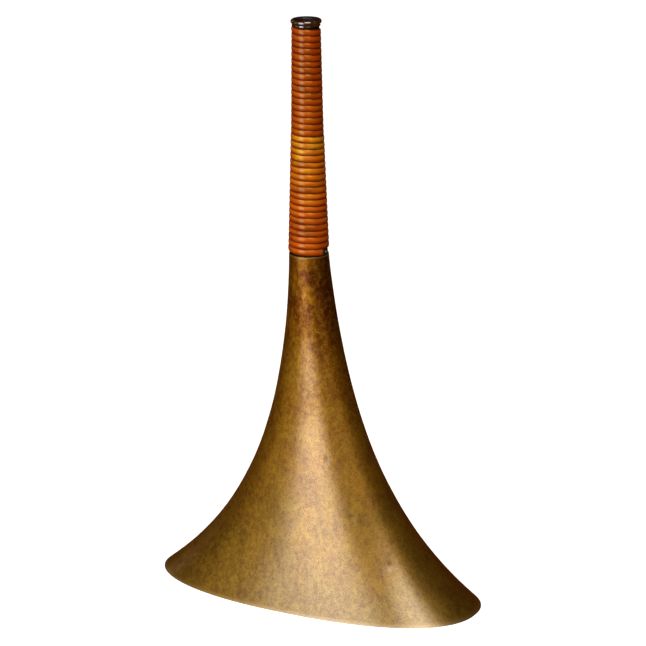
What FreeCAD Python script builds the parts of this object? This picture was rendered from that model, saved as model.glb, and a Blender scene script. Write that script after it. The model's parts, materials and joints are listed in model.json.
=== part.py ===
import FreeCAD, Part
import math
import os
import Sketcher
from FreeCAD import Placement, Rotation, Vector

# An acoustic horn in sheet brass that stands upright on its oval mouth. A long neck rises from the
# bell, bound with split cane, and ends in a turned collar with a rolled lip and an open throat.
# Frame: +Z up, millimetres, origin at the middle of the mouth's rim, +X along the mouth's long axis.
# The neck is vertical, and its axis stands at x = -neck_offset, off the middle of the mouth.

DIMENSIONS = {
    # bell
    "overall_height": 502.2,
    "bell_height": 302.0,
    "mouth_length": 302.3,
    "mouth_width": 141.5,
    "neck_offset": 6.7,
    "bell_throat_radius": 16.95,
    "length_flare_power": 1.181,
    "width_flare_power": 1.628,
    "mouth_squareness": 0.28,
    "sheet_thickness": 0.9,
    # neck tube, rolled in two tapers
    "neck_foot_radius": 16.15,
    "neck_middle_radius": 12.6,
    "neck_top_radius": 11.0,
    "lower_taper_height": 102.5,
    "upper_taper_height": 92.1,
    # sleeve inside the joint of the bell and the neck tube
    "sleeve_radius": 16.0,
    "sleeve_depth": 12.0,
    "sleeve_rise": 14.0,
    "sleeve_thickness": 0.8,
    # collar on top of the neck
    "skirt_radius": 11.95,
    "lip_radius": 12.95,
    "lip_bead_radius": 2.1,
    "lip_fillet_radius": 1.2,
    "spigot_radius": 10.05,
    "spigot_length": 14.3,
    # cane binding, wound in two lengths that butt at the back of the neck
    "lower_cane_thickness": 1.45,
    "upper_cane_thickness": 1.15,
    "cane_edge_thickness": 0.85,
    "cane_crown_share": 0.28,
    "cane_gap": 0.2,
    "cane_bed": 0.05,
    "cane_start_height": 0.5,
    "cane_start_angle": 2.7,
    "cane_butt_angle": 1.0,
    "lower_cane_pitch": 5.36,
    "lower_cane_turns": 18.68,
    "upper_cane_pitch": 5.28,
    "upper_cane_turns": 16.8,
    # tacks through the four ends of the cane
    "tack_setback_angle": 8.5,
    "tack_head_radius": 1.0,
    "tack_head_height": 0.7,
    "tack_head_seat": 0.15,
    "tack_shank_radius": 0.45,
    "tack_shank_length": 2.8,
}

doc = FreeCAD.newDocument("AcousticHorn")
sheet = doc.addObject("Spreadsheet::Sheet", "Sizes")
for row, (alias, value) in enumerate(DIMENSIONS.items(), start=1):
    sheet.set("A%d" % row, alias)
    sheet.set("B%d" % row, str(value))
    sheet.setAlias("B%d" % row, alias)
doc.recompute()


def size(alias):
    """A driving dimension, read back from the sheet."""
    return float(sheet.get(alias))


# Sizes that follow from the driving dimensions, as expressions of the sheet.
NECK_HEIGHT = "(Sizes.lower_taper_height + Sizes.upper_taper_height)"
LOWER_TAPER = "(Sizes.neck_foot_radius - Sizes.neck_middle_radius) / Sizes.lower_taper_height"
UPPER_TAPER = "(Sizes.neck_middle_radius - Sizes.neck_top_radius) / Sizes.upper_taper_height"
UPPER_CANE_START = "(Sizes.cane_start_height + Sizes.lower_cane_pitch * Sizes.lower_cane_turns)"
UPPER_CANE_ANGLE = "(Sizes.cane_start_angle - 360 * Sizes.lower_cane_turns - Sizes.cane_butt_angle)"

# ---------------------------------------------------------------- drawing helpers


def new_body(label, height):
    """A body on the neck's axis, its own zero at the given height above the rim."""
    body = doc.addObject("PartDesign::Body", label)
    body.Label = label
    body.setExpression("Placement.Base.x", "-Sizes.neck_offset")
    body.setExpression("Placement.Base.z", height)
    return body


def new_sketch(body, label):
    """A sketch on the body's own XZ plane: across is the radius, up is the height."""
    sketch = body.newObject("Sketcher::SketchObject", label)
    plane = next(f for f in body.Origin.OriginFeatures if f.Role == "XZ_Plane")
    sketch.AttachmentSupport = [(plane, "")]
    sketch.MapMode = "FlatFace"
    return sketch


def bind(sketch, constraint, expression):
    index = sketch.addConstraint(constraint)
    sketch.setExpression("Constraints[%d]" % index, expression)


def fix_corner(sketch, edge, across, up):
    """Hold the start of an edge at two sizes of the sheet; up is None on the base line."""
    corner = sketch.getPoint(edge, 1)
    bind(sketch, Sketcher.Constraint("DistanceX", -1, 1, edge, 1, corner.x), across)
    if up is None:
        sketch.addConstraint(Sketcher.Constraint("PointOnObject", edge, 1, -1))
    else:
        bind(sketch, Sketcher.Constraint("DistanceY", -1, 1, edge, 1, corner.y), up)


def draw_outline(sketch, corners):
    """A closed outline of straight edges through corners given as (across, up) expressions."""
    count = len(corners)
    turns = [2 * math.pi * i / count for i in range(count)]
    loose = [Vector(math.cos(turn), math.sin(turn), 0) for turn in turns]
    for i in range(count):
        sketch.addGeometry(Part.LineSegment(loose[i], loose[(i + 1) % count]), False)
    for i in range(count):
        sketch.addConstraint(Sketcher.Constraint("Coincident", i, 2, (i + 1) % count, 1))
    for i, (across, up) in enumerate(corners):
        fix_corner(sketch, i, across, up)


def revolve(body, sketch, label):
    revolution = body.newObject("PartDesign::Revolution", label)
    revolution.Profile = sketch
    revolution.ReferenceAxis = (sketch, ["V_Axis"])
    revolution.Angle = 360
    body.Tip = revolution


# ---------------------------------------------------------------- bell
# Every level section is a superellipse, which no sketch feature draws. Its half length and half
# width each follow an exponential law from the round throat to the oval mouth, and its middle
# moves from the neck's axis at the throat to x = 0 at the mouth.

BELL_SECTIONS = 16
POINTS_ROUND_SECTION = 48


def half_size(drop, mouth, power, inset):
    """Half of a section's length or width, less the wall, whose inset is square to the sheet."""
    throat = size("bell_throat_radius")
    growth = math.log(mouth / throat)
    outside = throat * math.exp(growth * drop ** power)
    slope = 0.0
    if drop > 0:
        slope = outside * growth * power * drop ** (power - 1) / size("bell_height")
    return outside - inset * math.hypot(1, slope)


def bell_section(height, inset):
    """The closed wire of one level section of the bell."""
    drop = max(0.0, 1 - height / size("bell_height"))
    half_length = half_size(drop, size("mouth_length") / 2, size("length_flare_power"), inset)
    half_width = half_size(drop, size("mouth_width") / 2, size("width_flare_power"), inset)
    middle = -size("neck_offset") * max(0.0, 1 - drop) ** 2
    exponent = 2 + size("mouth_squareness") * drop ** 2
    points = []
    for i in range(POINTS_ROUND_SECTION):
        turn = 2 * math.pi * i / POINTS_ROUND_SECTION
        x, y = math.cos(turn), math.sin(turn)
        reach = (abs(x) ** exponent + abs(y) ** exponent) ** (-1 / exponent)
        points.append(Vector(middle + half_length * x * reach, half_width * y * reach, height))
    curve = Part.BSplineCurve()
    curve.interpolate(Points=points, PeriodicFlag=True)
    return Part.Wire([curve.toShape()])


def make_bell():
    """The sheet between two lofted skins, closed by flat rings at the rim and at the throat."""
    top = size("bell_height")
    heights = [top * i / (BELL_SECTIONS - 1) for i in range(BELL_SECTIONS)]
    outer_sections = [bell_section(height, 0.0) for height in heights]
    inner_sections = [bell_section(height, size("sheet_thickness")) for height in heights]
    faces = []
    for sections in (outer_sections, inner_sections):
        faces += Part.makeLoft(sections, False, False).Faces
    for end in (0, -1):
        faces += Part.Face(outer_sections[end]).cut(Part.Face(inner_sections[end])).Faces
    skin = Part.Shell(faces)
    skin.sewShape()
    bell = doc.addObject("Part::Feature", "horn_bell")
    bell.Label = "horn_bell"
    bell.Shape = Part.Solid(skin)
    bell.Placement = Placement()
    return bell


# ---------------------------------------------------------------- neck tube and its sleeve


def make_neck_tube():
    """A tapered tube that stands on the bell's throat."""
    body = new_body("neck_tube_blank", "Sizes.bell_height")
    sketch = new_sketch(body, "neck_profile")
    draw_outline(sketch, [
        ("Sizes.neck_foot_radius", None),
        ("Sizes.neck_middle_radius", "Sizes.lower_taper_height"),
        ("Sizes.neck_top_radius", NECK_HEIGHT),
        ("Sizes.neck_top_radius - Sizes.sheet_thickness", NECK_HEIGHT),
        ("Sizes.neck_middle_radius - Sizes.sheet_thickness", "Sizes.lower_taper_height"),
        ("Sizes.neck_foot_radius - Sizes.sheet_thickness", None),
    ])
    revolve(body, sketch, "neck_turning")
    return body


def make_joint_sleeve():
    """A short sleeve soldered into the bell's throat and into the foot of the neck tube."""
    body = new_body("joint_sleeve_blank", "Sizes.bell_height - Sizes.sleeve_depth")
    sketch = new_sketch(body, "sleeve_profile")
    shoulder = "Sizes.neck_foot_radius - Sizes.sheet_thickness"
    tip = shoulder + " - Sizes.sleeve_rise * " + LOWER_TAPER
    top = "Sizes.sleeve_depth + Sizes.sleeve_rise"
    draw_outline(sketch, [
        ("Sizes.sleeve_radius", None),
        ("Sizes.sleeve_radius", "Sizes.sleeve_depth"),
        (shoulder, "Sizes.sleeve_depth"),
        (tip, top),
        (tip + " - Sizes.sleeve_thickness", top),
        ("Sizes.sleeve_radius - Sizes.sleeve_thickness", None),
    ])
    revolve(body, sketch, "sleeve_turning")
    return body


# ---------------------------------------------------------------- collar


def make_collar():
    """A turned collar: a spigot down inside the neck, a straight skirt and a rolled lip."""
    base = "Sizes.bell_height + " + NECK_HEIGHT + " - Sizes.spigot_length"
    body = new_body("throat_collar_blank", base)
    sketch = new_sketch(body, "collar_profile")
    neck_top = size("bell_height") + size("lower_taper_height") + size("upper_taper_height")
    bead, fillet = size("lip_bead_radius"), size("lip_fillet_radius")
    skirt, spigot, shoulder = size("skirt_radius"), size("spigot_radius"), size("spigot_length")
    lip_height = size("overall_height") - neck_top + shoulder
    bead_middle = Vector(size("lip_radius") - bead, lip_height - bead, 0)
    reach = skirt + fillet - bead_middle.x
    fall = math.sqrt((bead + fillet) ** 2 - reach ** 2)
    fillet_middle = Vector(skirt + fillet, bead_middle.y - fall, 0)
    meeting = math.atan2(-fall, reach)
    bore = bead_middle.x - bead
    out = Vector(0, 0, 1)
    sketch.addGeometry([
        Part.LineSegment(Vector(spigot, 0, 0), Vector(spigot, shoulder, 0)),
        Part.LineSegment(Vector(spigot, shoulder, 0), Vector(skirt, shoulder, 0)),
        Part.LineSegment(Vector(skirt, shoulder, 0), Vector(skirt, fillet_middle.y, 0)),
        Part.ArcOfCircle(Part.Circle(fillet_middle, out, fillet), math.pi + meeting, math.pi),
        Part.ArcOfCircle(Part.Circle(bead_middle, out, bead), meeting, math.pi),
        Part.LineSegment(Vector(bore, bead_middle.y, 0), Vector(bore, 0, 0)),
        Part.LineSegment(Vector(bore, 0, 0), Vector(spigot, 0, 0)),
    ], False)
    spigot_side, step, skirt_side, hollow, lip, wall, foot = range(7)
    for first, second in ((spigot_side, step), (step, skirt_side), (wall, foot), (foot, spigot_side)):
        sketch.addConstraint(Sketcher.Constraint("Coincident", first, 2, second, 1))
    for first, end, second, start in ((skirt_side, 2, hollow, 2), (hollow, 1, lip, 1), (lip, 2, wall, 1)):
        sketch.addConstraint(Sketcher.Constraint("Tangent", first, end, second, start))
    for edge in (spigot_side, skirt_side, wall):
        sketch.addConstraint(Sketcher.Constraint("Vertical", edge))
    for edge in (step, foot):
        sketch.addConstraint(Sketcher.Constraint("Horizontal", edge))
    fix_corner(sketch, spigot_side, "Sizes.spigot_radius", None)
    fix_corner(sketch, skirt_side, "Sizes.skirt_radius", "Sizes.spigot_length")
    bind(sketch, Sketcher.Constraint("Radius", hollow, fillet), "Sizes.lip_fillet_radius")
    bind(sketch, Sketcher.Constraint("Radius", lip, bead), "Sizes.lip_bead_radius")
    bind(sketch, Sketcher.Constraint("DistanceX", -1, 1, lip, 3, bead_middle.x),
         "Sizes.lip_radius - Sizes.lip_bead_radius")
    bind(sketch, Sketcher.Constraint("DistanceY", -1, 1, lip, 3, bead_middle.y),
         "Sizes.overall_height - Sizes.lip_bead_radius - (" + base + ")")
    revolve(body, sketch, "collar_turning")
    return body


# ---------------------------------------------------------------- cane binding


def make_cane(which, start_height, start_angle, start_radius, taper):
    """One length of split cane wound left-handed on a cone: flat inside, rounded outside."""
    body = new_body(which + "_cane_winding", "Sizes.bell_height + " + start_height)
    body.setExpression("Placement.Rotation.Angle", start_angle)
    sketch = new_sketch(body, which + "_cane_section")
    pitch = "Sizes." + which + "_cane_pitch"
    width = "(" + pitch + " - Sizes.cane_gap)"
    bed = start_radius + " + Sizes.cane_bed"
    crown = bed + " + Sizes." + which + "_cane_thickness"
    upper_bed = bed + " - " + width + " * " + taper
    draw_outline(sketch, [
        (bed, None),
        (bed + " + Sizes.cane_edge_thickness", None),
        (crown, width + " * Sizes.cane_crown_share"),
        (crown, width + " * (1 - Sizes.cane_crown_share)"),
        (upper_bed + " + Sizes.cane_edge_thickness", width),
        (upper_bed, width),
    ])
    winding = body.newObject("PartDesign::AdditiveHelix", which + "_cane_helix")
    winding.Profile = sketch
    winding.ReferenceAxis = (sketch, ["V_Axis"])
    winding.Mode = "pitch-turns-angle"
    winding.LeftHanded = True
    winding.setExpression("Pitch", pitch)
    winding.setExpression("Turns", "Sizes." + which + "_cane_turns")
    winding.setExpression("Angle", "-atan(" + taper + ")")
    body.Tip = winding
    return body


def make_lower_cane():
    start_radius = "Sizes.neck_foot_radius - Sizes.cane_start_height * " + LOWER_TAPER
    return make_cane("lower", "Sizes.cane_start_height", "Sizes.cane_start_angle",
                     start_radius, LOWER_TAPER)


def make_upper_cane():
    above_middle = "(" + UPPER_CANE_START + " - Sizes.lower_taper_height)"
    start_radius = "Sizes.neck_middle_radius - " + above_middle + " * " + UPPER_TAPER
    return make_cane("upper", UPPER_CANE_START, UPPER_CANE_ANGLE, start_radius, UPPER_TAPER)


# ---------------------------------------------------------------- tacks


def neck_radius(height):
    """The neck tube's outer radius at a height above the top of the bell."""
    middle = size("lower_taper_height")
    lower = (size("neck_foot_radius") - size("neck_middle_radius")) / middle
    upper = (size("neck_middle_radius") - size("neck_top_radius")) / size("upper_taper_height")
    taper = lower if height < middle else upper
    return size("neck_middle_radius") + (middle - height) * taper


def tack_places():
    """Angle, height above the rim and crown radius of the cane, near the four ends of the cane."""
    setback = size("tack_setback_angle") / 360
    start_height = size("cane_start_height")
    start_angle = size("cane_start_angle")
    places = []
    for which in ("lower", "upper"):
        pitch, turns = size(which + "_cane_pitch"), size(which + "_cane_turns")
        for turned in (setback, turns - setback):
            edge = start_height + pitch * turned
            crown = neck_radius(edge) + size("cane_bed") + size(which + "_cane_thickness")
            middle = size("bell_height") + edge + (pitch - size("cane_gap")) / 2
            places.append((start_angle - 360 * turned, middle, crown))
        start_height += pitch * turns
        start_angle -= 360 * turns + size("cane_butt_angle")
    return places


def make_tacks():
    """Four round-headed tacks: foot and top of the lower cane, foot and top of the upper cane."""
    tacks = []
    for number, (angle, height, crown) in enumerate(tack_places(), start=1):
        head = doc.addObject("Part::Ellipsoid", "tack_head_%d" % number)
        head.setExpression("Radius1", "Sizes.tack_head_height")
        head.setExpression("Radius2", "Sizes.tack_head_radius")
        head.setExpression("Radius3", "Sizes.tack_head_radius")
        head.Angle1 = 0
        shank = doc.addObject("Part::Cylinder", "tack_shank_%d" % number)
        shank.setExpression("Radius", "Sizes.tack_shank_radius")
        shank.setExpression("Height", "Sizes.tack_shank_length")
        shank.setExpression("Placement.Base.z", "-Sizes.tack_shank_length")
        tack = doc.addObject("Part::Fuse", "tack_%d" % number)
        tack.Base = head
        tack.Tool = shank
        outward = Rotation(Vector(0, 0, 1), angle).multVec(Vector(1, 0, 0))
        seat = Vector(-size("neck_offset"), 0, height) + outward * (crown - size("tack_head_seat"))
        tack.Placement = Placement(seat, Rotation(Vector(0, 0, 1), outward))
        tacks.append(tack)
    return tacks


def group_of(tacks, label):
    group = doc.addObject("Part::Compound", label)
    group.Label = label
    group.Links = tacks
    return group


def drill(blank, tacks, label):
    """The piece with the holes that its tacks sit in, drilled one after another."""
    for number, tack in enumerate(tacks, start=1):
        drilled = doc.addObject("Part::Cut", "%s_drilled_%d" % (label, number))
        drilled.Base = blank
        drilled.Tool = tack
        blank = drilled
    blank.Label = label
    return blank


# ---------------------------------------------------------------- build, check and write


def main():
    tacks = make_tacks()
    foot_tack, *butt_tacks, top_tack = tacks
    pieces = [
        make_bell(),
        drill(make_joint_sleeve(), [foot_tack], "joint_sleeve"),
        drill(make_neck_tube(), tacks, "neck_tube"),
        drill(make_collar(), [top_tack], "throat_collar"),
        drill(make_lower_cane(), [foot_tack, butt_tacks[0]], "lower_cane_binding"),
        drill(make_upper_cane(), [butt_tacks[1], top_tack], "upper_cane_binding"),
        group_of(tacks, "cane_tacks"),
    ]
    doc.recompute()
    for thing in doc.Objects:
        if "Invalid" in thing.State or "Error" in thing.State:
            raise RuntimeError(thing.Name + " failed to recompute")
    for piece in pieces:
        if piece.Shape.isNull() or not piece.Shape.isValid() or piece.Shape.Volume <= 0:
            raise RuntimeError(piece.Label + " has no valid shape")
    os.makedirs("parts", exist_ok=True)
    for piece in pieces:
        piece.Shape.exportStep("parts/%s.step" % piece.Label)
        solids = len(piece.Shape.Solids)
        print("%s: %d solid(s), %.1f mm3" % (piece.Label, solids, piece.Shape.Volume))


main()
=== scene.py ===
import json
import math

import bpy
import numpy as np
from mathutils import Matrix, Vector, noise


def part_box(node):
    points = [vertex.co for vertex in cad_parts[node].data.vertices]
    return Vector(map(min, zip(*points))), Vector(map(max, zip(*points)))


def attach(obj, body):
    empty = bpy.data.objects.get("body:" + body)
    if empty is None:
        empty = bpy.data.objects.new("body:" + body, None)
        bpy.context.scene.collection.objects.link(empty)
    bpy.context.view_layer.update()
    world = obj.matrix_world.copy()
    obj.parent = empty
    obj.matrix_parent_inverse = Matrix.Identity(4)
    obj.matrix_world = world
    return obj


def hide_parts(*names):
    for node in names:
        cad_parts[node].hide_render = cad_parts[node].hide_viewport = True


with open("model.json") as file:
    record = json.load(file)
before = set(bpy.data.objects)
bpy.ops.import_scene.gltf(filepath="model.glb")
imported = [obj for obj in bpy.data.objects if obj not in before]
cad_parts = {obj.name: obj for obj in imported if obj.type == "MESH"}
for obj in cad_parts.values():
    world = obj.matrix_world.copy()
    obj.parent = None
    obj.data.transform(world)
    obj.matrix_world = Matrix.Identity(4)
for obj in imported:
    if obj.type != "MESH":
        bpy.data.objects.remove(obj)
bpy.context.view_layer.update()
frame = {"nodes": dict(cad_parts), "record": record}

# The brass horn, built round its CAD frame. Everything is in metres, in the frame's own axes:
# +Z up, +X along the mouth's long axis, the origin in the middle of the mouth's rim.

MM = 0.001
TURN = 2 * math.pi

# ------------------------------------------------------------------ sizes read from the frame

BELL_LOW, BELL_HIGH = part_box("horn_bell")
NECK_LOW, NECK_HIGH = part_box("neck_tube")
COLLAR_LOW, COLLAR_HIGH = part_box("throat_collar")
SOCKET = next(m for m in frame["record"]["mounts"] if m["name"] == "throat_socket")

BELL_HEIGHT = BELL_HIGH.z
HALF_LENGTH = (BELL_HIGH.x - BELL_LOW.x) / 2
HALF_WIDTH = (BELL_HIGH.y - BELL_LOW.y) / 2
NECK_X = (NECK_LOW.x + NECK_HIGH.x) / 2
NECK_FOOT_RADIUS = (NECK_HIGH.x - NECK_LOW.x) / 2
NECK_HEIGHT = NECK_HIGH.z - BELL_HEIGHT
LIP_RADIUS = (COLLAR_HIGH.x - COLLAR_LOW.x) / 2
BORE_RADIUS = SOCKET["dims"]["r_mm"] * MM

# ------------------------------------------------------------------ mesh helpers


def new_object(name, vertices, faces, smooth=True):
    mesh = bpy.data.meshes.new(name)
    mesh.from_pydata([tuple(v) for v in vertices], [], faces)
    mesh.validate()
    if smooth:
        mesh.polygons.foreach_set("use_smooth", [True] * len(mesh.polygons))
    mesh.update()
    piece = bpy.data.objects.new(name, mesh)
    bpy.context.scene.collection.objects.link(piece)
    return piece


def grid_faces(rows, columns, close_rows=False, close_columns=False):
    """Quads over a grid of rows x columns vertices, stored row by row."""
    faces = []
    for i in range(rows if close_rows else rows - 1):
        for j in range(columns if close_columns else columns - 1):
            a = i * columns + j
            b = i * columns + (j + 1) % columns
            c = ((i + 1) % rows) * columns + (j + 1) % columns
            d = ((i + 1) % rows) * columns + j
            faces.append((a, b, c, d))
    return faces


def add_attribute(piece, name, values):
    """A number for every vertex, which the piece's material reads by name."""
    attribute = piece.data.attributes.new(name, "FLOAT", "POINT")
    attribute.data.foreach_set("value", np.asarray(values, np.float32).ravel())


def smooth_step(value, start, end):
    share = np.clip((value - start) / (end - start), 0, 1)
    return share * share * (3 - 2 * share)


def rounded(before, corner, after, steps):
    """Points of a quadratic curve that rounds off a corner; both of its ends are left out."""
    shares = [(k + 1) / (steps + 1) for k in range(steps)]
    return [(1 - t) ** 2 * before + 2 * t * (1 - t) * corner + t * t * after for t in shares]


# ------------------------------------------------------------------ material helpers


def colour(red, green, blue):
    """A screen colour, 0 to 255, as the linear colour that a node takes."""
    linear = []
    for level in (red, green, blue):
        share = level / 255
        linear.append(share / 12.92 if share <= 0.04045 else ((share + 0.055) / 1.055) ** 2.4)
    return (*linear, 1.0)


class Paint:
    """One procedural material. Each method adds a node and returns its output."""

    def __init__(self, name):
        self.material = bpy.data.materials.new(name)
        self.material.use_nodes = True
        self.nodes = self.material.node_tree.nodes
        self.links = self.material.node_tree.links
        self.shader = self.nodes["Principled BSDF"]
        self.place = self.nodes.new("ShaderNodeTexCoord").outputs["Object"]

    def put(self, value, socket):
        if isinstance(value, bpy.types.NodeSocket):
            self.links.new(value, socket)
        else:
            socket.default_value = value

    def finish(self, **inputs):
        """Inputs of the shader by name, with _ for a space."""
        for name, value in inputs.items():
            self.put(value, self.shader.inputs[name.replace("_", " ")])
        return self.material

    def attribute(self, name):
        node = self.nodes.new("ShaderNodeAttribute")
        node.attribute_name = name
        return node.outputs["Fac"]

    def coordinate(self, axis):
        node = self.nodes.new("ShaderNodeSeparateXYZ")
        self.put(self.place, node.inputs[0])
        return node.outputs[axis]

    def point(self, x, y, z):
        node = self.nodes.new("ShaderNodeCombineXYZ")
        for value, socket in zip((x, y, z), node.inputs):
            self.put(value, socket)
        return node.outputs[0]

    def stretched(self, x, y, z):
        """The place, with each axis made longer by its own factor."""
        node = self.nodes.new("ShaderNodeVectorMath")
        node.operation = "MULTIPLY"
        self.put(self.place, node.inputs[0])
        node.inputs[1].default_value = (1 / x, 1 / y, 1 / z)
        return node.outputs[0]

    def cloud(self, size, detail=3.0, at=None, distortion=0.0, harshness=0.5):
        """Noise from 0 to 1 whose lumps are about the given size."""
        node = self.nodes.new("ShaderNodeTexNoise")
        node.inputs["Scale"].default_value = 1 / size
        node.inputs["Detail"].default_value = detail
        node.inputs["Roughness"].default_value = harshness
        node.inputs["Distortion"].default_value = distortion
        self.put(self.place if at is None else at, node.inputs["Vector"])
        return node.outputs["Fac"]

    def span(self, value, low, high, out_low=0.0, out_high=1.0, smooth=True):
        """A value's stretch from low to high, turned into out_low to out_high."""
        node = self.nodes.new("ShaderNodeMapRange")
        node.interpolation_type = "SMOOTHSTEP" if smooth else "LINEAR"
        for name, number in (("From Min", low), ("From Max", high),
                             ("To Min", out_low), ("To Max", out_high)):
            node.inputs[name].default_value = number
        self.put(value, node.inputs["Value"])
        return node.outputs["Result"]

    def reckon(self, operation, first, second=0.0):
        node = self.nodes.new("ShaderNodeMath")
        node.operation = operation
        self.put(first, node.inputs[0])
        self.put(second, node.inputs[1])
        return node.outputs[0]

    def ramp(self, factor, *stops):
        """Colours at positions from 0 to 1."""
        node = self.nodes.new("ShaderNodeValToRGB")
        elements = node.color_ramp.elements
        for element, (position, shade) in ((elements[1], stops[-1]), (elements[0], stops[0])):
            element.position = position
            element.color = shade
        for position, shade in stops[1:-1]:
            elements.new(position).color = shade
        self.put(factor, node.inputs["Fac"])
        return node.outputs["Color"]

    def mix(self, factor, first, second, blend="MIX"):
        """Two colours mixed, through the node's colour sockets, whose names other sockets share."""
        node = self.nodes.new("ShaderNodeMix")
        node.data_type = "RGBA"
        node.blend_type = blend
        share, first_colour, second_colour = node.inputs[0], node.inputs[6], node.inputs[7]
        self.put(factor, share)
        self.put(first, first_colour)
        self.put(second, second_colour)
        return node.outputs[2]

    def bump(self, height, depth, normal=None):
        """Relief of the given depth in metres, over an earlier bump if there is one."""
        node = self.nodes.new("ShaderNodeBump")
        node.inputs["Strength"].default_value = 1.0
        node.inputs["Distance"].default_value = depth
        self.put(height, node.inputs["Height"])
        if normal is not None:
            self.put(normal, node.inputs["Normal"])
        return node.outputs["Normal"]


# ------------------------------------------------------------------ camera
# Its azimuth and elevation are in degrees, its lens and sensor in millimetres. It stands at a
# distance from a point of the neck's axis, moved a little to its right and down.

CAMERA_AZIMUTH = 28.3
CAMERA_ELEVATION = 17.22
CAMERA_ROLL = math.radians(0.62)
CAMERA_DISTANCE = 2.2196
CAMERA_RIGHT = 0.0113
CAMERA_DOWN = 0.0103
CAMERA_LENS = 144.95
CAMERA_SENSOR = 36.0
AIM_HEIGHT = 0.25


def direction(azimuth, elevation):
    """From the horn outwards: azimuth 0 is the -Y side, and 90 the +X side."""
    turn, rise = math.radians(azimuth), math.radians(elevation)
    flat = math.cos(rise)
    return Vector((math.sin(turn) * flat, -math.cos(turn) * flat, math.sin(rise)))


def make_camera():
    back = direction(CAMERA_AZIMUTH, CAMERA_ELEVATION)
    right = Vector((0, 0, 1)).cross(back).normalized()
    up = back.cross(right)
    aim = Vector((NECK_X, 0, AIM_HEIGHT))
    place = aim + back * CAMERA_DISTANCE + right * CAMERA_RIGHT - up * CAMERA_DOWN
    level, tip = math.cos(CAMERA_ROLL), math.sin(CAMERA_ROLL)
    axes = Matrix((right * level - up * tip, right * tip + up * level, back)).transposed()
    data = bpy.data.cameras.new("camera")
    data.lens = CAMERA_LENS
    data.sensor_width = CAMERA_SENSOR
    camera = bpy.data.objects.new("camera", data)
    camera.matrix_world = Matrix.Translation(place) @ axes.to_4x4()
    bpy.context.scene.collection.objects.link(camera)
    bpy.context.scene.camera = camera


# ------------------------------------------------------------------ the bell
# Its half length and half width each follow an exponential law from the round throat to the mouth.

THROAT_STEP = 0.8 * MM
THROAT_RADIUS = NECK_FOOT_RADIUS + THROAT_STEP
LENGTH_FLARE_POWER = 1.181
WIDTH_FLARE_POWER = 1.628
MOUTH_SQUARENESS = 0.28
SMALLEST_DROP = 1e-9
SHEET = 0.9 * MM
BELL_COLUMNS = 320
OUTSIDE_ROWS = 240
INSIDE_ROWS = 40

# Both corners of a cut edge are rounded, over this height and this share of the sheet's thickness.
EDGE_ROUNDING = 0.28 * MM
EDGE_SHARE = 0.35
EDGE_STEPS = 5

# The beaten sheet waves a little, but runs true near both of its ends.
WAVES = ((38 * MM, 0.16 * MM), (13 * MM, 0.05 * MM))
TRUE_END = 9 * MM

# Each dent's height in mm, its bearing in degrees round from +X, and its radius and depth in mm.
# The first few are stained dark in the middle.
DENTS = (
    (180, 278, 2.0, 0.22),
    (130, 297, 2.6, 0.22),
    (83, 309, 2.8, 0.30),
    (45, 323, 3.0, 0.26),
    (48, 272, 1.6, 0.14),
    (150, 60, 4.0, 0.30),
    (70, 110, 5.0, 0.35),
    (35, 178, 3.0, 0.25),
    (210, 140, 2.5, 0.18),
)
STAINED_DENTS = 5
STAIN_SHARE = 0.8


def half_size(drop, mouth, power, inset):
    """Half of a section's length or width; drop is 0 at the throat and 1 at the mouth."""
    growth = math.log(mouth / THROAT_RADIUS)
    outside = THROAT_RADIUS * np.exp(growth * drop ** power)
    slope = outside * growth * power * np.maximum(drop, SMALLEST_DROP) ** (power - 1) / BELL_HEIGHT
    return outside - inset * np.hypot(1, slope)


def bell_point(height, turn, inset=0.0):
    """A point of the bell's skin, for arrays of heights and of angles round it."""
    drop = np.clip(1 - height / BELL_HEIGHT, 0, 1)
    half_length = half_size(drop, HALF_LENGTH, LENGTH_FLARE_POWER, inset)
    half_width = half_size(drop, HALF_WIDTH, WIDTH_FLARE_POWER, inset)
    exponent = 2 + MOUTH_SQUARENESS * drop ** 2
    x, y = np.cos(turn), np.sin(turn)
    reach = (np.abs(x) ** exponent + np.abs(y) ** exponent) ** (-1 / exponent)
    middle = NECK_X * (1 - drop) ** 2
    return np.stack((middle + half_length * x * reach, half_width * y * reach,
                     height + 0 * turn), axis=-1)


def bell_normal(height, turn):
    """Square to the bell's skin, from its slopes over two short steps."""
    step, turn_step = 0.02 * MM, 1e-4
    upward = bell_point(height + step, turn) - bell_point(height - step, turn)
    around = bell_point(height, turn + turn_step) - bell_point(height, turn - turn_step)
    normal = np.cross(around, upward)
    return normal / np.linalg.norm(normal, axis=-1, keepdims=True)


def dent_shape(points, height, bearing, radius):
    """1 in the middle of a dent, fading to 0 round it."""
    centre = bell_point(np.array(height * MM), np.array(math.radians(bearing)))
    return np.exp(-(np.linalg.norm(points - centre, axis=-1) / (radius * MM)) ** 2)


def hand_work(points, height):
    """How far the beaten sheet lies off its true shape, square to it, in metres."""
    offset = np.zeros(points.shape[:2])
    for i in range(points.shape[0]):
        for j in range(points.shape[1]):
            place = Vector(points[i, j])
            offset[i, j] = sum(rise * noise.noise(place / length) for length, rise in WAVES)
    for dent_height, bearing, radius, depth in DENTS:
        offset -= depth * MM * dent_shape(points, dent_height, bearing, radius)
    above_mouth = smooth_step(height, 0, TRUE_END)
    below_throat = 1 - smooth_step(height, BELL_HEIGHT - TRUE_END, BELL_HEIGHT)
    return offset * above_mouth * below_throat


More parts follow.
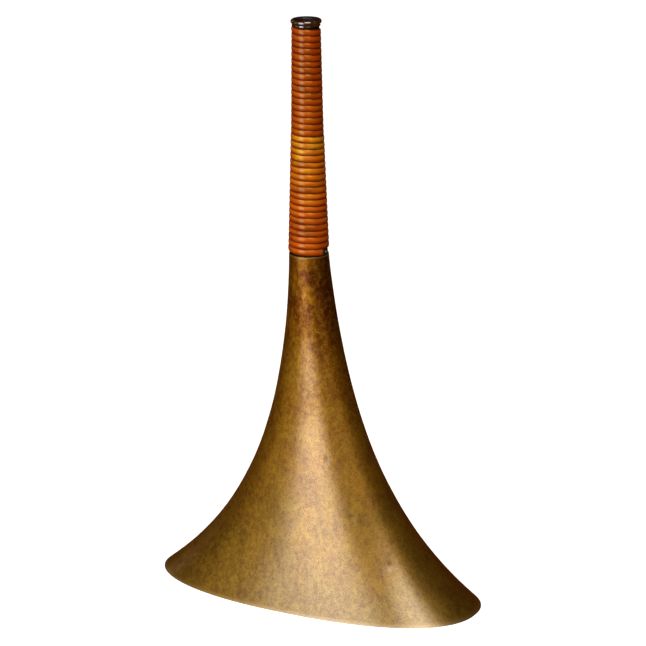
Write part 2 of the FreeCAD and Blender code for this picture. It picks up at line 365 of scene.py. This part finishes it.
def make_bell():
    turns = np.linspace(0, TURN, BELL_COLUMNS, endpoint=False)
    low, high = EDGE_ROUNDING, BELL_HEIGHT - EDGE_ROUNDING
    outside_heights = np.linspace(high, low, OUTSIDE_ROWS)
    inside_heights = np.linspace(low, high, INSIDE_ROWS)

    def skin(heights, inset):
        height, turn = np.meshgrid(heights, turns, indexing="ij")
        points = bell_point(height, turn, inset)
        return points + hand_work(points, height)[..., None] * bell_normal(height, turn)

    def ring(height, inset):
        return bell_point(np.full(BELL_COLUMNS, height), turns, inset)

    def edge(height, start, end, near, far):
        """A cut edge with both corners rounded, from the skin at inset near to the one at far."""
        face_start = ring(height, near + EDGE_SHARE * (far - near))
        face_end = ring(height, far - EDGE_SHARE * (far - near))
        return [*rounded(start, ring(height, near), face_start, EDGE_STEPS), face_start,
                face_end, *rounded(face_end, ring(height, far), end, EDGE_STEPS)]

    outside, inside = skin(outside_heights, 0.0), skin(inside_heights, SHEET)
    mouth_edge = edge(0.0, outside[-1], inside[0], 0.0, SHEET)
    throat_edge = edge(BELL_HEIGHT, inside[-1], outside[0], SHEET, 0.0)
    points = np.array([*outside, *mouth_edge, *inside, *throat_edge])
    bell = new_object("horn_bell_sheet", points.reshape(-1, 3),
                      grid_faces(len(points), BELL_COLUMNS, True, True))
    lining = np.zeros(points.shape[:2])
    inside_start = OUTSIDE_ROWS + len(mouth_edge)
    lining[inside_start:inside_start + INSIDE_ROWS] = 1.0
    add_attribute(bell, "lining", lining)
    add_attribute(bell, "stain", sum(dent_shape(points, height, bearing, STAIN_SHARE * radius)
                                     for height, bearing, radius, _ in DENTS[:STAINED_DENTS]))
    return bell


def paint_patinated_brass():
    """Thin brown and olive patina over brass: pale and worn low down, darker and redder high up,
    with painted shade on the +X flank and painted highlights along the rim and the throat's edge.
    """
    paint = Paint("patinated_brass")
    across, height = paint.coordinate("X"), paint.coordinate("Z")
    zones = paint.cloud(50 * MM, 3, paint.stretched(1, 1, 1.5), distortion=0.4)
    blotches = paint.cloud(14 * MM, 5, paint.stretched(1, 1, 1.5), distortion=0.5, harshness=0.62)
    speckle = paint.cloud(3.6 * MM, 4, paint.stretched(1, 1, 1.3), distortion=0.3, harshness=0.62)
    grain = paint.cloud(1.1 * MM, 3, harshness=0.65)

    # Three patinas, one above the other, whose bounds wander up and down.
    lower = paint.ramp(blotches, (0.28, colour(142, 104, 8)), (0.50, colour(160, 124, 16)),
                       (0.72, colour(174, 142, 34)))
    middle = paint.ramp(blotches, (0.30, colour(160, 108, 2)), (0.50, colour(190, 138, 8)),
                        (0.70, colour(200, 152, 18)))
    upper = paint.ramp(blotches, (0.32, colour(138, 74, 2)), (0.46, colour(158, 96, 2)),
                       (0.60, colour(178, 120, 4)), (0.74, colour(188, 130, 8)))
    ageing = paint.reckon("ADD", height, paint.span(zones, 0.3, 0.7, -30 * MM, 30 * MM))
    tone = paint.mix(paint.span(ageing, 20 * MM, 130 * MM), lower, middle)
    tone = paint.mix(paint.span(ageing, 140 * MM, 300 * MM), tone, upper)

    # Painted shade: red-brown darkening on the +X flank, near the throat.
    shaded_flank = paint.reckon("ADD", across, paint.span(blotches, 0.3, 0.7, 4 * MM, -4 * MM))
    shaded_flank = paint.reckon("MULTIPLY", paint.span(shaded_flank, -2 * MM, 9 * MM),
                         paint.span(height, 190 * MM, 270 * MM))
    tone = paint.mix(paint.reckon("MULTIPLY", shaded_flank, 0.65), tone, colour(104, 32, 3))

    # Specks, stronger high up and towards the -X end, and a fine grain all over.
    contrast = paint.reckon("ADD", paint.span(ageing, 100 * MM, 260 * MM, 0.42, 0.80),
                            paint.span(across, 0.0, -70 * MM, 0.0, 0.4))
    dark_specks = paint.reckon("MULTIPLY", paint.span(speckle, 0.58, 0.28), contrast)
    light_specks = paint.reckon("MULTIPLY", paint.span(speckle, 0.46, 0.72, 0.0, 0.5), contrast)
    tone = paint.mix(dark_specks, tone, colour(186, 150, 70), "MULTIPLY")
    tone = paint.mix(light_specks, tone, colour(206, 166, 52))
    dark_grain = paint.span(grain, 0.56, 0.30, 0.0, 0.8)
    tone = paint.mix(dark_grain, tone, colour(150, 112, 44), "MULTIPLY")

    # A pale band along the mouth's rim, partly brass worn bare and partly painted highlight; a
    # painted highlight along the throat's top edge; stained dents; a browner inside.
    # Partly worn bare brass, partly a painted highlight along the mouth's rim.
    rim = paint.reckon("ADD", height, paint.span(speckle, 0.3, 0.7, -1.0 * MM, 1.0 * MM))
    rim = paint.span(rim, 3.4 * MM, 0.8 * MM, 0.0, 0.3)
    # Painted highlight along the throat's top edge.
    throat = paint.span(height, BELL_HEIGHT - 1.8 * MM, BELL_HEIGHT - 0.6 * MM, 0.0, 0.35)
    stain = paint.reckon("MULTIPLY", paint.attribute("stain"), 0.7)
    lining = paint.reckon("MULTIPLY", paint.attribute("lining"), 0.6)
    for share, shade in ((rim, colour(232, 204, 150)), (throat, colour(224, 190, 110)),
                         (stain, colour(70, 42, 8)), (lining, colour(112, 72, 24))):
        tone = paint.mix(share, tone, shade)

    # A dull metal under a thin clear skin, which is polished low down.
    roughness = paint.span(ageing, 100 * MM, 300 * MM, 0.46, 0.50)
    polish = paint.reckon("MULTIPLY", paint.span(ageing, 130 * MM, 260 * MM, 1.0, 0.1),
                          paint.span(speckle, 0.34, 0.62, 0.85, 1.0))
    relief = paint.bump(paint.cloud(6 * MM, 3), 0.04 * MM)
    relief = paint.bump(speckle, 0.035 * MM, relief)
    relief = paint.bump(grain, 0.018 * MM, relief)
    return paint.finish(Base_Color=tone, Metallic=0.88, Roughness=roughness, Normal=relief,
                        Coat_Weight=polish, Coat_Roughness=0.29, Coat_IOR=1.85)


# ------------------------------------------------------------------ neck tube and sleeve


def paint_tarnished_shaded_tube():
    """The neck tube, nearly black where it shows between the cane and the bell: partly tarnish with
    age, partly painted shade.
    """
    paint = Paint("tarnished_brass")
    blotches = paint.cloud(6 * MM, 5, distortion=0.5)
    speckle = paint.cloud(1.2 * MM, 3)
    tone = paint.ramp(blotches, (0.3, colour(26, 14, 8)), (0.5, colour(52, 30, 14)),
                      (0.75, colour(96, 62, 26)))
    tone = paint.mix(paint.span(speckle, 0.5, 0.7, 0.0, 0.5), tone, colour(20, 12, 8))
    roughness = paint.span(blotches, 0.3, 0.7, 0.6, 0.42)
    return paint.finish(Base_Color=tone, Metallic=0.9, Roughness=roughness,
                        Normal=paint.bump(speckle, 0.03 * MM))


def paint_plain_brass():
    """The sleeve, with marks along its length from drawing."""
    paint = Paint("plain_brass")
    blotches = paint.cloud(8 * MM, 4)
    drawn = paint.cloud(1.5 * MM, 3, paint.stretched(1, 1, 12))
    tone = paint.ramp(blotches, (0.3, colour(122, 92, 42)), (0.7, colour(176, 138, 72)))
    tone = paint.mix(paint.span(drawn, 0.45, 0.7, 0.0, 0.35), tone, colour(84, 58, 24))
    roughness = paint.span(drawn, 0.3, 0.7, 0.38, 0.5)
    return paint.finish(Base_Color=tone, Metallic=1.0, Roughness=roughness,
                        Normal=paint.bump(drawn, 0.02 * MM))


# ------------------------------------------------------------------ the collar

SPIGOT_RADIUS = 10.05 * MM
SKIRT_RADIUS = 11.95 * MM
LIP_FILLET = 1.2 * MM
COLLAR_CHAMFER = 0.15 * MM
COLLAR_COLUMNS = 192
FILLET_POINTS = 9
BEAD_POINTS = 40
BORE_POINTS = 16


def arc(middle, radius, start, end, count):
    """Points of an arc in a profile of (radius, height), angles in degrees."""
    across, up = middle
    return [np.array((across + radius * math.cos(angle), up + radius * math.sin(angle)))
            for angle in np.radians(np.linspace(start, end, count))]


def collar_profile():
    """The outline that is turned into the collar: foot, spigot, skirt, rolled lip and bore."""
    bead = (LIP_RADIUS - BORE_RADIUS) / 2
    bead_middle = (LIP_RADIUS - bead, COLLAR_HIGH.z - bead)
    reach = SKIRT_RADIUS + LIP_FILLET - bead_middle[0]
    fall = math.sqrt((bead + LIP_FILLET) ** 2 - reach ** 2)
    fillet_middle = (SKIRT_RADIUS + LIP_FILLET, bead_middle[1] - fall)
    meeting = math.degrees(math.atan2(-fall, reach))
    shoulder, foot, chamfer = NECK_HIGH.z, COLLAR_LOW.z, COLLAR_CHAMFER
    corner_cut, row_gap = 0.3 * chamfer, 0.3 * MM
    corners = [(BORE_RADIUS, foot + chamfer), (BORE_RADIUS + chamfer, foot),
               (SPIGOT_RADIUS - chamfer, foot), (SPIGOT_RADIUS, foot + chamfer),
               (SPIGOT_RADIUS, shoulder), (SKIRT_RADIUS - chamfer, shoulder),
               (SKIRT_RADIUS - corner_cut, shoulder + corner_cut),
               (SKIRT_RADIUS, shoulder + chamfer), (SKIRT_RADIUS, shoulder + chamfer + row_gap),
               (SKIRT_RADIUS, shoulder + chamfer + 2 * row_gap)]
    profile = [np.array(corner) for corner in corners]
    profile += arc(fillet_middle, LIP_FILLET, 180, 180 + meeting, FILLET_POINTS)
    profile += arc(bead_middle, bead, meeting, 180, BEAD_POINTS)[1:]
    bore_heights = np.linspace(bead_middle[1], foot + chamfer, BORE_POINTS)[1:-1]
    return profile + [np.array((BORE_RADIUS, height)) for height in bore_heights]


def make_collar():
    turns = np.linspace(0, TURN, COLLAR_COLUMNS, endpoint=False)
    profile = collar_profile()
    vertices = [(NECK_X + radius * math.cos(turn), radius * math.sin(turn), height)
                for radius, height in profile for turn in turns]
    collar = new_object("throat_collar_turned", vertices,
                        grid_faces(len(profile), COLLAR_COLUMNS, True, True))
    lip_top, blend = (LIP_RADIUS + BORE_RADIUS) / 2, 0.6 * MM
    radii = np.array([radius for radius, height in profile])
    inner = smooth_step(radii, lip_top + blend, lip_top - blend)
    add_attribute(collar, "inner", np.repeat(inner, COLLAR_COLUMNS))
    return collar


def paint_dark_lacquer():
    """Nearly black lacquer, duller inside and darkened there with painted shade, worn through to
    brass in a few spots round the lip.
    """
    paint = Paint("dark_lacquer")
    patches = paint.cloud(5.5 * MM, 3, distortion=0.6)
    chips = paint.cloud(1.2 * MM, 3, harshness=0.6)
    lacquer = paint.ramp(patches, (0.3, colour(24, 8, 14)), (0.55, colour(40, 12, 18)),
                         (0.8, colour(62, 22, 22)))
    worn = paint.ramp(chips, (0.3, colour(120, 92, 36)), (0.7, colour(186, 156, 96)))
    lip = paint.span(paint.coordinate("Z"), COLLAR_HIGH.z - 3.4 * MM, COLLAR_HIGH.z - 1.8 * MM)
    inner = paint.attribute("inner")
    outer = paint.span(inner, 1.0, 0.0)
    bare = paint.reckon("ADD", patches, paint.span(chips, 0.3, 0.7, -0.06, 0.06))
    bare = paint.reckon("MULTIPLY", paint.span(bare, 0.60, 0.66), lip)
    bare = paint.reckon("MULTIPLY", bare, outer)
    # Painted shade: the bore and the inner half of the lip are darkened towards near black.
    tone = paint.mix(paint.reckon("MULTIPLY", inner, 0.85), lacquer, colour(16, 4, 14))
    return paint.finish(Base_Color=paint.mix(bare, tone, worn),
                        Metallic=bare, Roughness=paint.span(inner, 0.0, 1.0, 0.28, 0.6),
                        Normal=paint.bump(patches, 0.10 * MM),
                        Coat_Weight=paint.span(inner, 0.0, 1.0, 1.0, 0.05),
                        Coat_Roughness=0.12, Coat_IOR=2.3, Coat_Tint=(1.0, 0.86, 0.84, 1))


# ------------------------------------------------------------------ the cane binding
# Two lengths, wound one above the other. Angles are in degrees round from +X.

NECK_MIDDLE_RADIUS = 12.6 * MM
NECK_TOP_RADIUS = 11.0 * MM
LOWER_TAPER_HEIGHT = 102.5 * MM
CANE_BED = 0.05 * MM
LOWER_CROWN = 1.45 * MM
UPPER_CROWN = 1.15 * MM
CANE_START_HEIGHT = BELL_HEIGHT + 0.5 * MM
CANE_START_ANGLE = 2.7
CANE_BUTT_ANGLE = 1.0
LOWER_PITCH, LOWER_TURNS = 5.36 * MM, 18.68
UPPER_PITCH, UPPER_TURNS = 5.28 * MM, 16.8
# The lower strip's start is torn and darkened over this length, partly a dark stain and partly
# painted shade.
FRAY_AND_SHADE_LENGTH = 7.6 * MM

# A strip's section is part of a superellipse, and its samples crowd towards the strip's sides.
SAMPLES_PER_TURN = 90
ACROSS_SAMPLES = 13
SIDE_CROWDING = 1.35
SHOULDER_POWER = 1.35

# It is thinner at its ends. Its edges stray in waves, so many to a turn, but not near its ends.
END_THICKNESS = 0.7
END_TAPER = 1.8 * MM
SLOW_STRAY, QUICK_STRAY = 0.83, 2.3
STRAY_FADE = 1.2


def neck_radius(height):
    """The neck tube's outer radius at a height above the rim."""
    above = height - BELL_HEIGHT - LOWER_TAPER_HEIGHT
    lower = (NECK_FOOT_RADIUS - NECK_MIDDLE_RADIUS) / LOWER_TAPER_HEIGHT
    upper = (NECK_MIDDLE_RADIUS - NECK_TOP_RADIUS) / (NECK_HEIGHT - LOWER_TAPER_HEIGHT)
    return NECK_MIDDLE_RADIUS - above * np.where(above < 0, lower, upper)


def wander(turned, turns, seed):
    """How far a strip's edge strays up or down, about -1 to 1, faded out towards both ends."""
    strayed = np.array([noise.noise(Vector((t * SLOW_STRAY, seed, 0.0))) for t in turned])
    strayed += 0.5 * np.array([noise.noise(Vector((t * QUICK_STRAY, seed, 5.0))) for t in turned])
    strayed *= smooth_step(turned, 0, STRAY_FADE)
    return strayed * (1 - smooth_step(turned, turns - STRAY_FADE, turns))


def make_cane(name, start, start_angle, pitch, turns, crown, edge, fullness, stray, gap):
    """A strip wound left-handed: crown and edge are its thickness in the middle and at its sides.

    A larger fullness makes its back flatter, stray is how far its edges wander, and gap is the
    space left below the next turn.
    """
    count = int(turns * SAMPLES_PER_TURN)
    turned = np.linspace(0, turns, count)
    seed = start * 100
    lower_edge = start + pitch * turned + stray * wander(turned, turns, seed)
    upper_edge = start + pitch * (turned + 1) - gap + stray * wander(turned + 1, turns, seed)
    angle = np.radians(start_angle) - TURN * turned
    along = TURN * turned * neck_radius(start + pitch * turned)
    from_nearer_end = np.minimum(along, along[-1] - along)
    thinning = END_THICKNESS + (1 - END_THICKNESS) * smooth_step(from_nearer_end, 0, END_TAPER)
    across = np.linspace(-1, 1, ACROSS_SAMPLES)
    across = np.sign(across) * (1 - (1 - np.abs(across)) ** SIDE_CROWDING)
    bulge = (1 - np.abs(across) ** fullness) ** (1 / SHOULDER_POWER)
    section = [(side, edge + (crown - edge) * full) for side, full in zip(across, bulge)]
    section += [(1.0, 0.0), (-1.0, 0.0)]
    rows = []
    for side, thickness in section:
        height = lower_edge + (upper_edge - lower_edge) * (side + 1) / 2
        radius = neck_radius(height) + CANE_BED + thickness * thinning
        rows.append(np.stack((NECK_X + radius * np.cos(angle), radius * np.sin(angle), height), -1))
    points = np.array(rows).transpose(1, 0, 2)
    ring = len(section)
    faces = grid_faces(count, ring, False, True)
    faces.append(tuple(range(ring)))
    faces.append(tuple((count - 1) * ring + k for k in reversed(range(ring))))
    cane = new_object(name, points.reshape(-1, 3), faces)
    sides = np.array([side for side, thickness in section])
    add_attribute(cane, "along", np.repeat(along, ring))
    add_attribute(cane, "turned", np.repeat(turned, ring))
    add_attribute(cane, "across", np.tile(sides, count))
    return cane


def make_lower_cane():
    return make_cane("lower_cane_strip", CANE_START_HEIGHT, CANE_START_ANGLE,
                     LOWER_PITCH, LOWER_TURNS, crown=LOWER_CROWN, edge=0.95 * MM, fullness=1.7,
                     stray=0.45 * MM, gap=0.10 * MM)


def make_upper_cane():
    start = CANE_START_HEIGHT + LOWER_PITCH * LOWER_TURNS
    angle = CANE_START_ANGLE - 360 * LOWER_TURNS - CANE_BUTT_ANGLE
    return make_cane("upper_cane_strip", start, angle, UPPER_PITCH, UPPER_TURNS,
                     crown=UPPER_CROWN, edge=0.82 * MM, fullness=1.7,
                     stray=0.40 * MM, gap=0.08 * MM)


def paint_cane(name, body_stops, darker_tone_and_shade, sheen, fray_and_shade_length):
    """Varnished split cane.

    Each of body_stops is a number of turns from the strip's start and the colour there. The darker
    colour after them is the redder tone of fibres and patches, and also the painted shade low on
    each turn and in the hollows between the turns. Sheen is the colour on the fine hairs. The last
    argument is the length of the torn stretch at the strip's start, or 0; that stretch is darkened
    to near black, partly a dark stain and partly painted shade.
    """
    paint = Paint(name)
    along, turned, across = (paint.attribute(word) for word in ("along", "turned", "across"))
    run = paint.reckon("MULTIPLY", along, 1 / (16 * MM))
    slow_run = paint.reckon("MULTIPLY", along, 1 / (30 * MM))
    fibres = paint.cloud(1.0, 4, paint.point(run, paint.reckon("MULTIPLY", across, 3.0), 0.0))
    hairs = paint.cloud(1.0, 3, paint.point(run, paint.reckon("MULTIPLY", across, 12.0), 7.0))
    patches = paint.cloud(10 * MM, 4, distortion=0.5)
    redder = paint.cloud(1.0, 3, paint.point(slow_run, turned, 3.0))

    # The body's colour, from the strip's start to its end, and redder here and there.
    last_turn = body_stops[-1][0]
    age = paint.span(patches, 0.25, 0.75, -0.28, 0.28)
    share = paint.reckon("ADD", paint.span(turned, 0, last_turn, smooth=False), age)
    tone = paint.ramp(share, *((turns / last_turn, shade) for turns, shade in body_stops))
    tone = paint.mix(paint.span(redder, 0.48, 0.66, 0.0, 0.55), tone, darker_tone_and_shade)

    # Fibres and hairs run along it. Painted shade darkens the lower part of each turn and its sides,
    # towards the hollows between the turns.
    tone = paint.mix(paint.span(fibres, 0.46, 0.66, 0.0, 0.40), tone, darker_tone_and_shade)
    tone = paint.mix(paint.span(hairs, 0.46, 0.30, 0.0, 0.30), tone, sheen)
    side = paint.reckon("ABSOLUTE", across)
    side_shade = paint.reckon("ADD", side, paint.span(fibres, 0.3, 0.7, -0.10, 0.10))
    # Painted shade: darker towards the lower edge of each turn.
    tone = paint.mix(paint.span(across, 0.25, -0.95, 0.0, 0.55), tone, darker_tone_and_shade)
    # Painted shade: darker at each turn's sides, in the hollows between the turns.
    tone = paint.mix(paint.span(side_shade, 0.66, 1.02, 0.0, 0.9), tone, darker_tone_and_shade)
    # The torn stretch at the strip's start: a few pale torn fibres, then near black, partly a dark
    # stain and partly painted shade.
    if fray_and_shade_length:
        edge = paint.reckon("ADD", along, paint.span(hairs, 0.2, 0.8, -1.6 * MM, 1.6 * MM))
        torn = paint.reckon("MULTIPLY", paint.span(edge, fray_and_shade_length + 1.6 * MM, fray_and_shade_length + 0.4 * MM),
                            paint.span(hairs, 0.42, 0.52, 0.0, 0.35))
        tone = paint.mix(torn, tone, colour(226, 150, 90))
        # Painted shade and a dark stain: near black over the stretch.
        tone = paint.mix(paint.span(edge, fray_and_shade_length + 0.8 * MM, fray_and_shade_length - 3.2 * MM), tone, colour(40, 5, 4))

    # The bump rounds each turn a little more than its mesh does.
    rounding = paint.reckon("SUBTRACT", 1.0, paint.reckon("MULTIPLY", across, across))
    relief = paint.bump(rounding, 0.45 * MM)
    relief = paint.bump(fibres, 0.08 * MM, relief)
    relief = paint.bump(hairs, 0.04 * MM, relief)
    return paint.finish(Base_Color=tone, Roughness=paint.span(fibres, 0.3, 0.7, 0.24, 0.36),
                        Normal=relief, Specular_Tint=(1.0, 0.78, 0.14, 1), IOR=1.7,
                        Coat_Weight=0.25, Coat_Roughness=0.15)


def paint_amber_cane():
    stops = [(0.0, colour(212, 84, 2)), (7.0, colour(218, 94, 3)),
             (14.0, colour(226, 118, 6)), (17.4, colour(232, 132, 8)), (18.7, colour(240, 158, 18))]
    return paint_cane("amber_cane", stops, darker_tone_and_shade=colour(120, 30, 2), sheen=colour(252, 190, 96),
                      fray_and_shade_length=FRAY_AND_SHADE_LENGTH)


def paint_russet_cane():
    stops = [(0.0, colour(194, 84, 4)), (8.0, colour(196, 80, 3)), (16.8, colour(180, 62, 3))]
    return paint_cane("russet_cane", stops, darker_tone_and_shade=colour(112, 26, 2), sheen=colour(232, 140, 60),
                      fray_and_shade_length=0.0)


# ------------------------------------------------------------------ tacks

TACK_SETBACK = 8.5 / 360
TACK_RISE = 0.46
TACK_RADIUS = 1.0 * MM
TACK_DOME = 0.7 * MM
TACK_SEAT = 0.15 * MM
SHANK_RADIUS = 0.45 * MM
SHANK_LENGTH = 2.8 * MM
TACK_COLUMNS = 28
DOME_ROWS = 12


def tack_places():
    """Angle in radians, height and seat radius of the four tacks, one near each end of the cane."""
    places = []
    start, start_angle = CANE_START_HEIGHT, CANE_START_ANGLE
    for pitch, turns, crown in ((LOWER_PITCH, LOWER_TURNS, LOWER_CROWN),
                                (UPPER_PITCH, UPPER_TURNS, UPPER_CROWN)):
        for turned in (TACK_SETBACK, turns - TACK_SETBACK):
            edge = start + pitch * turned
            seat = float(neck_radius(edge)) + CANE_BED + crown - TACK_SEAT
            angle = math.radians(start_angle) - TURN * turned
            places.append((angle, edge + TACK_RISE * pitch, seat))
        start += pitch * turns
        start_angle -= 360 * turns + CANE_BUTT_ANGLE
    return places


def make_tacks():
    """Round-headed tacks, each a dome with a turned-under rim on a plain shank."""
    profile = [(TACK_RADIUS * math.cos(rise), TACK_DOME * math.sin(rise))
               for rise in np.radians(np.linspace(86, 0, DOME_ROWS))]
    profile += [(0.94 * TACK_RADIUS, -0.12 * MM), (SHANK_RADIUS, -0.16 * MM),
                (SHANK_RADIUS, -0.5 * SHANK_LENGTH), (0.25 * SHANK_RADIUS, -SHANK_LENGTH)]
    vertices, faces = [], []
    for angle, height, seat in tack_places():
        outward = Vector((math.cos(angle), math.sin(angle), 0))
        sideways = Vector((-math.sin(angle), math.cos(angle), 0))
        base = Vector((NECK_X, 0, height)) + outward * seat
        first = len(vertices)
        for radius, rise in profile:
            for k in range(TACK_COLUMNS):
                turn = TURN * k / TACK_COLUMNS
                rim = sideways * (radius * math.cos(turn)) + Vector((0, 0, radius * math.sin(turn)))
                vertices.append(base + outward * rise + rim)
        sides = grid_faces(len(profile), TACK_COLUMNS, False, True)
        last = len(vertices) - TACK_COLUMNS
        faces += [tuple(first + corner for corner in face) for face in sides]
        faces.append(tuple(first + k for k in reversed(range(TACK_COLUMNS))))
        faces.append(tuple(last + k for k in range(TACK_COLUMNS)))
    return new_object("cane_tack_heads", vertices, faces)


def paint_tack_steel():
    paint = Paint("tack_steel")
    wear = paint.cloud(0.5 * MM, 3)
    tone = paint.ramp(wear, (0.3, colour(178, 160, 158)), (0.7, colour(232, 222, 220)))
    roughness = paint.span(wear, 0.3, 0.7, 0.30, 0.42)
    return paint.finish(Base_Color=tone, Metallic=1.0, Roughness=roughness,
                        Normal=paint.bump(wear, 0.01 * MM))


# ------------------------------------------------------------------ floor, lights and background

FLOOR_RADIUS = 9.0
FLOOR_COLUMNS = 96
FLOOR_DROP = 0.2 * MM
ROOM_STRENGTH = 0.07
LIGHT_AIM = Vector((0, 0, 0.2))


def make_floor():
    """A pale round sheet just under the rim. It shows no shadow, and the brass doesn't mirror it."""
    vertices = [(0, 0, 0)]
    for k in range(FLOOR_COLUMNS):
        turn = TURN * k / FLOOR_COLUMNS
        vertices.append((FLOOR_RADIUS * math.cos(turn), FLOOR_RADIUS * math.sin(turn), 0))
    faces = [(0, 1 + k, 1 + (k + 1) % FLOOR_COLUMNS) for k in range(FLOOR_COLUMNS)]
    floor = new_object("floor", vertices, faces, smooth=False)
    floor.location.z = -FLOOR_DROP
    paint = Paint("pale_floor")
    mottle = paint.cloud(0.4, 3)
    tone = paint.ramp(mottle, (0.3, colour(240, 240, 240)), (0.7, colour(246, 246, 246)))
    floor.data.materials.append(paint.finish(
        Base_Color=tone, Roughness=0.9, Specular_IOR_Level=0.0,
        Emission_Color=(1, 1, 1, 1), Emission_Strength=1.0))
    floor.visible_glossy = False
    floor.visible_diffuse = False
    floor.visible_shadow = False


def add_softbox(name, turn, elevation, distance, width, height, radiance, tint):
    """A flat lamp that faces the horn, so many degrees round it from the camera's azimuth."""
    data = bpy.data.lights.new(name, "AREA")
    data.shape = "RECTANGLE"
    data.size = width
    data.size_y = height
    data.energy = radiance * math.pi * width * height
    data.color = tint
    lamp = bpy.data.objects.new(name, data)
    outward = direction(CAMERA_AZIMUTH + turn, elevation)
    lamp.location = LIGHT_AIM + outward * distance
    lamp.rotation_mode = "QUATERNION"
    lamp.rotation_quaternion = outward.to_track_quat("Z", "Y")
    lamp.visible_camera = False
    bpy.context.scene.collection.objects.link(lamp)


def make_world():
    """White behind the horn, and a dim room to light it, amber in front and redder at the back."""
    world = bpy.data.worlds.new("studio")
    world.use_nodes = True
    nodes, links = world.node_tree.nodes, world.node_tree.links
    seen = nodes["Background"]
    seen.inputs["Color"].default_value = (1, 1, 1, 1)
    seen.inputs["Strength"].default_value = 1.0
    room = nodes.new("ShaderNodeBackground")
    away = nodes.new("ShaderNodeVectorMath")
    away.operation = "DOT_PRODUCT"
    away.inputs[1].default_value = -direction(CAMERA_AZIMUTH, 0)
    links.new(nodes.new("ShaderNodeTexCoord").outputs["Generated"], away.inputs[0])
    walls = nodes.new("ShaderNodeValToRGB")
    front, back = walls.color_ramp.elements
    front.position, front.color = 0.25, (1.0, 0.58, 0.14, 1)
    back.position, back.color = 0.85, (0.85, 0.14, 0.02, 1)
    links.new(away.outputs["Value"], walls.inputs["Fac"])
    links.new(walls.outputs["Color"], room.inputs["Color"])
    room.inputs["Strength"].default_value = ROOM_STRENGTH
    path = nodes.new("ShaderNodeLightPath")
    either = nodes.new("ShaderNodeMixShader")
    links.new(path.outputs["Is Camera Ray"], either.inputs[0])
    links.new(room.outputs[0], either.inputs[1])
    links.new(seen.outputs[0], either.inputs[2])
    links.new(either.outputs[0], nodes["World Output"].inputs["Surface"])
    bpy.context.scene.world = world


def make_lights():
    """Softboxes: turn, elevation, distance, width, height, radiance and tint."""
    add_softbox("key", -40, 12, 1.6, 0.95, 1.9, 3.15, (1.0, 1.0, 1.03))
    add_softbox("fill", 16, 10, 2.0, 1.4, 1.6, 0.42, (1.0, 0.72, 0.25))
    add_softbox("side", -84, 12, 1.7, 0.7, 1.6, 0.5, (1.0, 0.66, 0.10))
    add_softbox("overhead", 15, 53, 1.6, 0.8, 0.9, 4.6, (1.0, 0.97, 0.92))
    add_softbox("back", 180, -CAMERA_ELEVATION, 2.0, 0.8, 1.0, 2.4, (1.0, 0.80, 0.5))
    add_softbox("back_left", -130, 25, 1.8, 0.5, 1.2, 0.35, (1.0, 0.75, 0.4))


# ------------------------------------------------------------------ the whole scene


def dress(piece, material, node):
    """A detailed piece on the horn's one body, in place of the CAD node that it stands for."""
    piece.data.materials.clear()
    piece.data.materials.append(material)
    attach(piece, "root")
    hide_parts(node)


def dress_node(node, material):
    """A CAD node that stays as it is, with a better material."""
    thing = frame["nodes"][node]
    thing.data.materials.clear()
    thing.data.materials.append(material)


bpy.context.scene.view_settings.view_transform = "Standard"
make_camera()
make_world()
make_lights()
make_floor()
dress(make_bell(), paint_patinated_brass(), "horn_bell")
dress(make_collar(), paint_dark_lacquer(), "throat_collar")
dress(make_lower_cane(), paint_amber_cane(), "lower_cane_binding")
dress(make_upper_cane(), paint_russet_cane(), "upper_cane_binding")
dress(make_tacks(), paint_tack_steel(), "cane_tacks")
dress_node("neck_tube", paint_tarnished_shaded_tube())
dress_node("joint_sleeve", paint_plain_brass())
